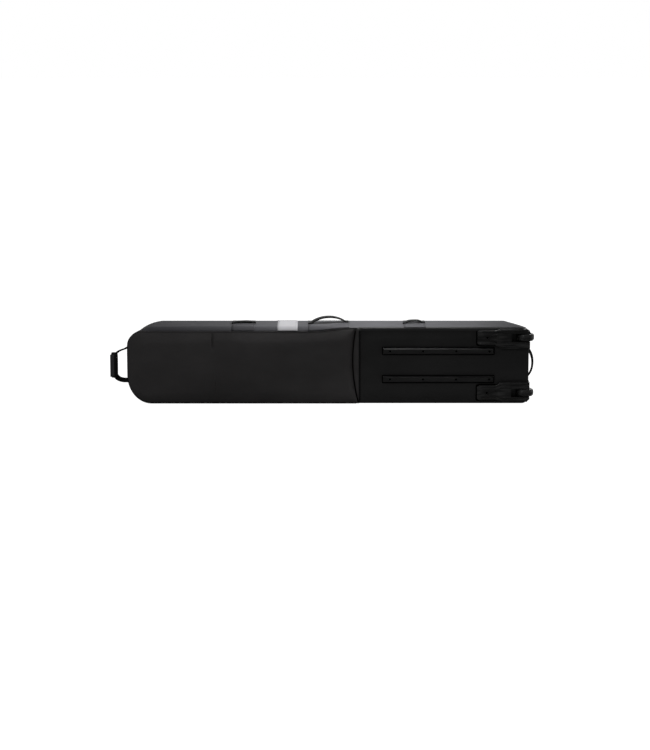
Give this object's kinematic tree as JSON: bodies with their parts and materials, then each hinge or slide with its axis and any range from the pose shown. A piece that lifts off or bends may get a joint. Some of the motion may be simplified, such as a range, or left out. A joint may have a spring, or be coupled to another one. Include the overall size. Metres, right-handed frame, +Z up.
{
  "type": "wheeled snowboard bag",
  "caption": "Long padded bag for a snowboard, with a zipped lid, carry handles, a hard-wearing underside, skid rails and wheels at one end.",
  "frame": {"origin": "on the resting side, at the middle of the shell's length and depth", "axes": "+X towards the wheel end, +Z up from the resting side to the handle side, -Y out of the underside with the wheels"},
  "size_m": [1.737, 0.2022, 0.349],
  "materials": {
    "shell_fabric": "padded nylon",
    "side_fabric": "woven polyester",
    "tray_fabric": "coated tarpaulin",
    "lid_fabric": "woven polyester",
    "webbing": "ribbed webbing",
    "label": "matte",
    "zipper": "woven tape",
    "plastic": "textured",
    "rail_plastic": "satin",
    "board_plastic": "matte",
    "tyre": "satin",
    "hub": "satin",
    "steel": "satin",
    "dark_steel": "satin"
  },
  "bodies": {
    "root": {"underside_panel": "shell_fabric", "underside_tray": "tray_fabric", "handle_side_wall": "side_fabric", "resting_side_wall": "side_fabric", "nose_wall": "side_fabric", "wheel_end_wall": "side_fabric", "zipper_tape_shell": "zipper", "stiffener_board": "board_plastic", "upper_rail_backing": "board_plastic", "upper_skid_rail": "rail_plastic", "upper_rail_screw_1": "steel", "upper_rail_screw_2": "steel", "upper_rail_screw_3": "steel", "upper_rail_screw_4": "steel", "lower_rail_backing": "board_plastic", "lower_skid_rail": "rail_plastic", "lower_rail_screw_1": "steel", "lower_rail_screw_2": "steel", "lower_rail_screw_3": "steel", "lower_rail_screw_4": "steel", "upper_wheel_housing": "plastic", "upper_housing_screw": "steel", "upper_wheel_axle": "steel", "lower_wheel_housing": "plastic", "lower_housing_screw": "steel", "lower_wheel_axle": "steel", "carry_handle_patch": "side_fabric", "nose_side_handle_patch": "side_fabric", "wheel_side_handle_patch": "side_fabric", "label_patch": "label", "nose_short_strap": "webbing", "nose_long_strap": "webbing", "nose_buckle_socket": "plastic", "wheel_short_strap": "webbing", "wheel_long_strap": "webbing", "wheel_buckle_socket": "plastic"},
    "lid": {"lid_panel": "lid_fabric", "zipper_tape_lid": "zipper"},
    "nose_slider": {"zipper_slider_nose": "dark_steel"},
    "wheel_slider": {"zipper_slider_wheel": "dark_steel"},
    "nose_pull": {"zipper_pull_nose": "plastic"},
    "wheel_pull": {"zipper_pull_wheel": "plastic"},
    "upper_wheel": {"upper_tyre": "tyre", "upper_wheel_hub": "hub", "upper_wheel_bearing_1": "steel", "upper_wheel_bearing_2": "steel"},
    "lower_wheel": {"lower_tyre": "tyre", "lower_wheel_hub": "hub", "lower_wheel_bearing_1": "steel", "lower_wheel_bearing_2": "steel"},
    "carry_handle": {"carry_handle_strap": "webbing", "carry_handle_grip": "webbing"},
    "nose_side_grab": {"nose_side_handle": "webbing"},
    "wheel_side_grab": {"wheel_side_handle": "webbing"},
    "nose_handle": {"nose_handle_strap": "webbing", "nose_handle_grip": "webbing"},
    "end_handle": {"wheel_end_handle": "webbing"},
    "nose_tongue": {"nose_buckle_tongue": "plastic"},
    "wheel_tongue": {"wheel_buckle_tongue": "plastic"}
  },
  "joints": [
    {"name": "lid_hinge", "type": "hinge", "parent": "root", "child": "lid", "pos_m": [0, 0.0855, 0.30325], "axis": [1, 0, 0], "range_deg": [0, 175]},
    {"name": "nose_zip_slide", "type": "slide", "parent": "root", "child": "nose_slider", "axis": [-1, 0, 0], "range_m": [0, 0.6]},
    {"name": "wheel_zip_slide", "type": "slide", "parent": "root", "child": "wheel_slider", "axis": [1, 0, 0], "range_m": [0, 0.6]},
    {"name": "nose_pull_hinge", "type": "hinge", "parent": "nose_slider", "child": "nose_pull", "pos_m": [-0.0085, 0.0946, 0.01935], "axis": [0, 0, -1], "range_deg": [0, 95]},
    {"name": "wheel_pull_hinge", "type": "hinge", "parent": "wheel_slider", "child": "wheel_pull", "pos_m": [0.0085, 0.0946, 0.01935], "axis": [0, 0, 1], "range_deg": [0, 95]},
    {"name": "upper_wheel_spin", "type": "hinge", "parent": "root", "child": "upper_wheel", "pos_m": [0.811, -0.07, 0.2755], "axis": [0, 0, 1], "continuous": true},
    {"name": "lower_wheel_spin", "type": "hinge", "parent": "root", "child": "lower_wheel", "pos_m": [0.811, -0.07, 0.0455], "axis": [0, 0, 1], "continuous": true},
    {"name": "carry_handle_swing", "type": "hinge", "parent": "root", "child": "carry_handle", "pos_m": [0.0055, 0.013, 0.3205], "axis": [1, 0, 0], "range_deg": [-40, 40], "stiffness_Nm_per_rad": 0.3},
    {"name": "nose_side_lift", "type": "slide", "parent": "root", "child": "nose_side_grab", "axis": [0, 0, 1], "range_m": [0, 0.018]},
    {"name": "wheel_side_lift", "type": "slide", "parent": "root", "child": "wheel_side_grab", "axis": [0, 0, 1], "range_m": [0, 0.018]},
    {"name": "nose_handle_swing", "type": "hinge", "parent": "root", "child": "nose_handle", "pos_m": [-0.8265, -0.04, 0.157], "axis": [0, 0, 1], "range_deg": [-45, 45], "stiffness_Nm_per_rad": 0.2},
    {"name": "end_handle_swing", "type": "hinge", "parent": "root", "child": "end_handle", "pos_m": [0.8145, -0.025, 0.1565], "axis": [0, 0, 1], "range_deg": [-35, 45], "stiffness_Nm_per_rad": 0.05},
    {"name": "nose_buckle_slide", "type": "slide", "parent": "root", "child": "nose_tongue", "axis": [0, 0, 1], "range_m": [0, 0.06]},
    {"name": "wheel_buckle_slide", "type": "slide", "parent": "root", "child": "wheel_tongue", "axis": [0, 0, 1], "range_m": [0, 0.06]}
  ]
}
